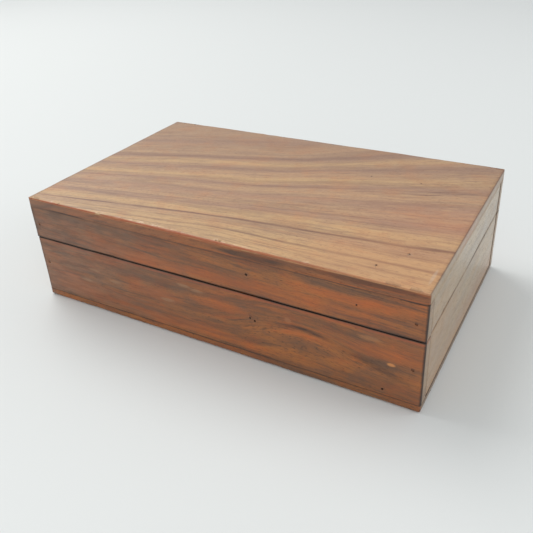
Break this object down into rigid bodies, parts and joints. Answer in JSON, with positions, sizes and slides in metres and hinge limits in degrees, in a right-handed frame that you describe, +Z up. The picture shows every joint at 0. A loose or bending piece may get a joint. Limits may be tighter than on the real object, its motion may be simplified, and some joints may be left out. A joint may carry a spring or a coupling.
{
  "type": "antique glove box",
  "caption": "Long flat hardwood glove box with a hinged lid, a fabric-lined compartment and a bevelled back edge that stops the open lid.",
  "frame": {"origin": "on the table under the middle of the box", "axes": "+X to the right along the length, -Y out of the front, +Z up"},
  "size_m": [0.305, 0.188, 0.086],
  "materials": {
    "hardwood": "worn oil and wax polish on a reddish brown hardwood with dark grain lines",
    "brass": "dull old brass",
    "steel": "dull drawn wire",
    "velvet": "short worn cotton velvet",
    "satin": "padded satin"
  },
  "bodies": {
    "base": {"base_bottom": "hardwood", "base_front": "hardwood", "base_back": "hardwood", "base_left_end": "hardwood", "base_right_end": "hardwood", "left_hinge_base_leaf": "brass", "left_hinge_pin": "steel", "right_hinge_base_leaf": "brass", "right_hinge_pin": "steel", "base_hinge_screws": "brass", "base_corner_pins": "steel", "bottom_pins": "steel", "base_floor_pad": "velvet", "base_front_lining": "velvet", "base_back_lining": "velvet", "base_left_lining": "velvet", "base_right_lining": "velvet"},
    "lid": {"lid_top": "hardwood", "lid_front": "hardwood", "lid_back": "hardwood", "lid_left_end": "hardwood", "lid_right_end": "hardwood", "left_hinge_lid_leaf": "brass", "right_hinge_lid_leaf": "brass", "lid_hinge_screws": "brass", "lid_corner_pins": "steel", "lid_pad": "satin", "lid_front_lining": "velvet", "lid_back_lining": "velvet", "lid_left_lining": "velvet", "lid_right_lining": "velvet"}
  },
  "joints": [
    {"name": "lid_hinge", "type": "hinge", "parent": "base", "child": "lid", "pos_m": [0, 0.092, 0.0524], "axis": [-1, 0, 0], "range_deg": [0, 95]}
  ]
}
